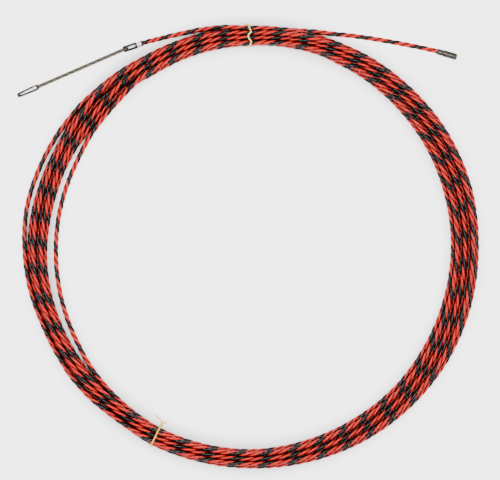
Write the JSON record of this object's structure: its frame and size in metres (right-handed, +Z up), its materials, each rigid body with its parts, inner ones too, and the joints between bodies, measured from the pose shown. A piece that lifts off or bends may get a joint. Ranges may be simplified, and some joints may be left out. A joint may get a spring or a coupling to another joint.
{
  "type": "fish tape coil",
  "caption": "Loose round coil of three-strand twisted plastic fish tape with crimped slotted end fittings, a steel cable leader with an eye, and wire ties.",
  "frame": {"origin": "centre of the object's box on the surface that it lies on", "axes": "+Z up out of the flat coil, +X across the coil towards the tail fitting, +Y towards the side where both ends leave the coil"},
  "size_m": [0.4631, 0.4466, 0.0139],
  "materials": {
    "line": "glossy twisted strands, two red and one black",
    "fitting": "bright turned steel",
    "stop": "dark browned steel",
    "cable": "stranded wire, dull",
    "tie": "plastic coating on wire"
  },
  "bodies": {
    "coil": {"coil_of_line": "line", "line_front_run": "line", "line_rear_run": "line", "front_end_fitting": "fitting", "tail_end_fitting": "fitting", "top_tie": "tie", "lower_tie": "tie"},
    "leader_pivot": {"leader_stop": "stop"},
    "leader": {"leader_cable": "cable", "leader_tip_eye": "fitting"}
  },
  "joints": [
    {"name": "leader_swing", "type": "hinge", "parent": "coil", "child": "leader_pivot", "pos_m": [-0.12438, 0.19627, 0.00332], "axis": [0, 0, 1], "range_deg": [-12, 2]},
    {"name": "leader_swivel", "type": "hinge", "parent": "leader_pivot", "child": "leader", "pos_m": [-0.12438, 0.19627, 0.00332], "axis": [-0.9171, -0.3987, 0], "continuous": true}
  ]
}
